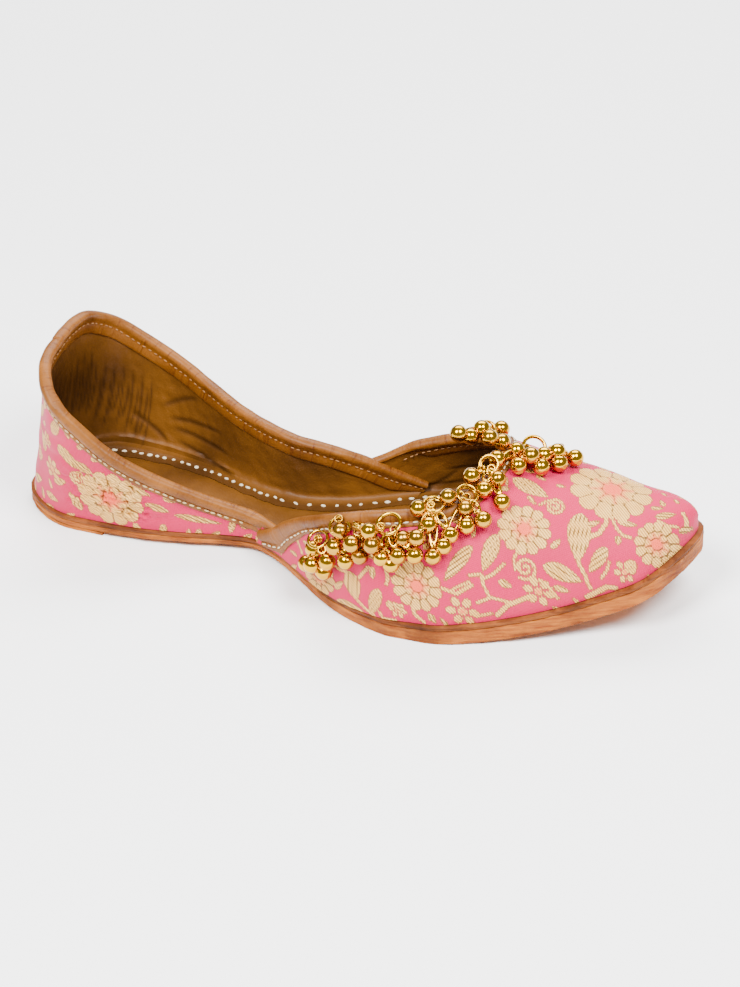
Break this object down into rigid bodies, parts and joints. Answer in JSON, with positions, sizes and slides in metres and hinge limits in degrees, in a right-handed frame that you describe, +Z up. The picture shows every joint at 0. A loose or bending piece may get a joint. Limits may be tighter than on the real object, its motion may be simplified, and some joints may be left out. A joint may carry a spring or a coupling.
{
  "type": "mojari shoe",
  "caption": "Flat pointed slip-on shoe: woven brocade upper on a layered leather sole, leather-bound open throat hung with small round bells, right foot.",
  "frame": {"origin": "on the floor under the middle of the shoe's box", "axes": "+X from the heel to the toe, +Y to the inner side of the foot, +Z up"},
  "size_m": [0.25, 0.0943, 0.0672],
  "materials": {
    "sole_leather": "cut edge, raw",
    "midsole_leather": "waxed",
    "insole_leather": "matte",
    "brocade": "woven pink silk with gold thread",
    "edging_leather": "satin",
    "bells": "polished"
  },
  "bodies": {
    "root": {"heel_lift": "sole_leather", "outsole": "sole_leather", "midsole": "midsole_leather", "insole": "insole_leather", "upper": "brocade", "quarter_binding": "edging_leather", "vamp_binding": "edging_leather", "bells_01": "bells", "bells_02": "bells", "bells_03": "bells", "bells_04": "bells", "bells_05": "bells", "bells_06": "bells", "bells_07": "bells", "bells_08": "bells", "bells_09": "bells", "bells_10": "bells"}
  },
  "joints": []
}
